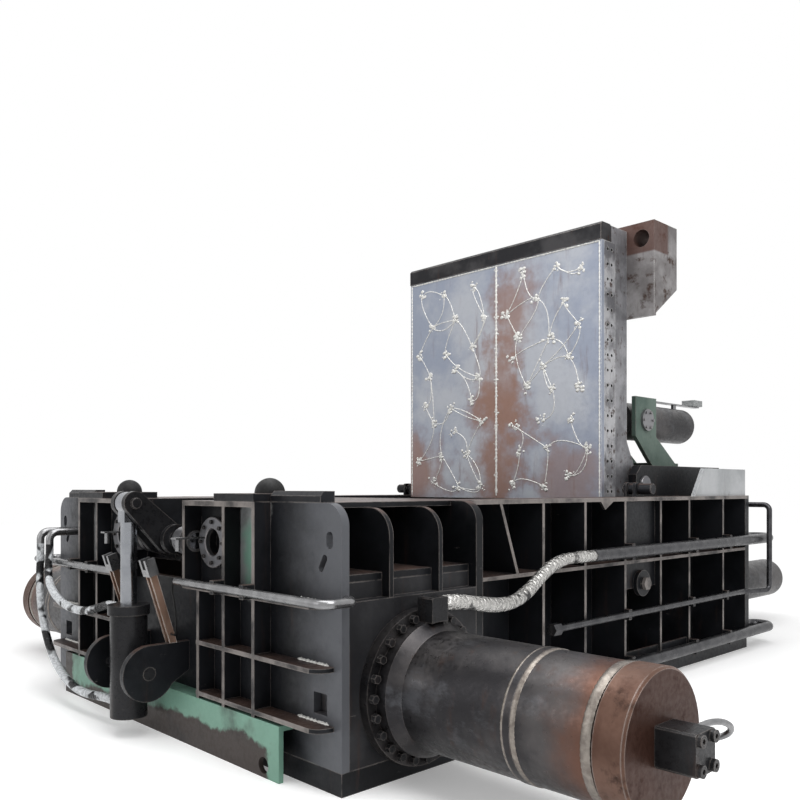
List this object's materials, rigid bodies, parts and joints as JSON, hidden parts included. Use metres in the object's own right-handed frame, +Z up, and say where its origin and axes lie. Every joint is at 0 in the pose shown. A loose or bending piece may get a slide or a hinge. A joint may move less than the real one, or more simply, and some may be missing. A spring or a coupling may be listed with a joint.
{
  "type": "scrap_baler",
  "caption": "Hydraulic scrap-metal baler with a raised plate lid, opposed side cylinders, a main ram and a top bale door, shown as a painted shop-floor build.",
  "frame": {"origin": "on the floor under the middle of the press chamber", "axes": "+X along the near side cylinder, +Y from the bale chamber to the main cylinders, +Z up"},
  "size_m": [6.82, 7.87, 3.82],
  "materials": {
    "frame_paint": "near-black blue shop paint with scuffs, pale worn edges and rust",
    "bare_steel": "bare machined steel, lightly stained",
    "blade_steel": "dark hardened blade steel",
    "wear_steel": "blue-grey wear plate with rust bloom and plug welds",
    "lid_steel": "dark stained plate",
    "bracket_rust": "red-brown rusted plate",
    "cylinder_steel": "dark tube with purple-brown heat tints",
    "cap_rust": "copper-coloured rusted steel",
    "satin_black": "satin black paint",
    "rod_chrome": "hard chromed rod",
    "stand_green": "sage green primer",
    "hood_grey": "light grey primer",
    "post_copper": "copper-brown plate",
    "fork_silver": "bright steel",
    "pipe_steel": "dark drawn steel tube",
    "conduit_silver": "bright drawn tube",
    "box_grey": "grey moulded plastic",
    "dome_rubber": "black rubber",
    "foil_wrap": "crinkled foil wrap",
    "hose_wrap": "loose pale film over a black hose",
    "cable_black": "black cable sheath"
  },
  "bodies": {
    "frame": {"arm_back_walls": "frame_paint", "arm_roofs": "frame_paint", "base_plate": "frame_paint", "buffer_domes": "dome_rubber", "channel_ribs": "frame_paint", "channel_walls": "frame_paint", "conduits": "conduit_silver", "cylinder_stands": "stand_green", "end_walls": "bare_steel", "far_side_cylinder": "cylinder_steel", "fixed_blade": "blade_steel", "foil_hose": "foil_wrap", "fork_heads": "fork_silver", "frame_bolts": "bare_steel", "front_beam": "frame_paint", "front_plinth": "frame_paint", "front_ribs": "frame_paint", "front_wall": "frame_paint", "hinge_cheeks": "frame_paint", "hinge_pins": "bare_steel", "hood_plates": "hood_grey", "lid_locks": "frame_paint", "lower_door_hose": "hose_wrap", "main_cylinders": "cylinder_steel", "near_side_cylinder": "cylinder_steel", "pipe_clamps": "frame_paint", "port_blocks": "satin_black", "port_rings": "bare_steel", "pressure_pipes": "pipe_steel", "rear_cover": "frame_paint", "rear_roof": "frame_paint", "sensor_cable": "cable_black", "sensors": "fork_silver", "shaft_bearings": "bare_steel", "side_cylinder_caps": "cap_rust", "stop_posts": "post_copper", "tail_wall": "frame_paint", "tie_bosses": "frame_paint", "top_bars": "frame_paint", "trunnion_caps": "bare_steel", "trunnion_ears": "frame_paint", "upper_door_hose": "hose_wrap"},
    "lid": {"lid_body": "lid_steel", "lid_wear_plates": "wear_steel", "lid_side_strips": "wear_steel", "lid_blade": "blade_steel", "lid_brackets": "bracket_rust"},
    "lid_barrels": {"lid_barrels": "cylinder_steel", "cable_bar": "conduit_silver", "junction_box": "box_grey"},
    "lid_rods": {"lid_rods": "rod_chrome"},
    "main_ram": {"main_ram": "wear_steel"},
    "near_side_ram": {"near_side_ram": "wear_steel"},
    "far_side_ram": {"far_side_ram": "wear_steel"},
    "door": {"bale_door": "satin_black", "door_shaft": "rod_chrome", "door_levers": "satin_black"},
    "door_barrel": {"door_barrel": "satin_black"},
    "door_rod": {"door_rod": "rod_chrome"}
  },
  "joints": [
    {"name": "lid_hinge", "type": "hinge", "parent": "frame", "child": "lid", "pos_m": [0, 1.065, 1.57], "axis": [1, 0, 0], "range_deg": [0, 90]},
    {"name": "lid_barrel_tilt", "type": "hinge", "parent": "frame", "child": "lid_barrels", "pos_m": [0, 1.515, 2.17], "axis": [1, 0, 0], "range_deg": [0, 26]},
    {"name": "lid_rod_slide", "type": "slide", "parent": "lid_barrels", "child": "lid_rods", "axis": [0, -1, 0], "range_m": [0, 0.84]},
    {"name": "main_ram_slide", "type": "slide", "parent": "frame", "child": "main_ram", "axis": [0, -1, 0], "range_m": [0, 2.95]},
    {"name": "near_side_slide", "type": "slide", "parent": "frame", "child": "near_side_ram", "axis": [-1, 0, 0], "range_m": [0, 0.75]},
    {"name": "far_side_slide", "type": "slide", "parent": "frame", "child": "far_side_ram", "axis": [1, 0, 0], "range_m": [0, 0.75]},
    {"name": "door_hinge", "type": "hinge", "parent": "frame", "child": "door", "pos_m": [0, -2.805, 1.22], "axis": [1, 0, 0], "range_deg": [0, 80]},
    {"name": "door_barrel_tilt", "type": "hinge", "parent": "frame", "child": "door_barrel", "pos_m": [0, -3.045, 0.42], "axis": [1, 0, 0], "range_deg": [0, 4]},
    {"name": "door_rod_slide", "type": "slide", "parent": "door_barrel", "child": "door_rod", "axis": [0, 0, 1], "range_m": [-0.42, 0]}
  ],
  "couplings": [
    {"joint": "lid_barrel_tilt", "follows": "lid_hinge", "ratio": 0.2843},
    {"joint": "lid_rod_slide", "follows": "lid_hinge", "m_per_rad": 0.5336},
    {"joint": "door_barrel_tilt", "follows": "door_hinge", "ratio": 0.0468},
    {"joint": "door_rod_slide", "follows": "door_hinge", "m_per_rad": -0.2927}
  ]
}
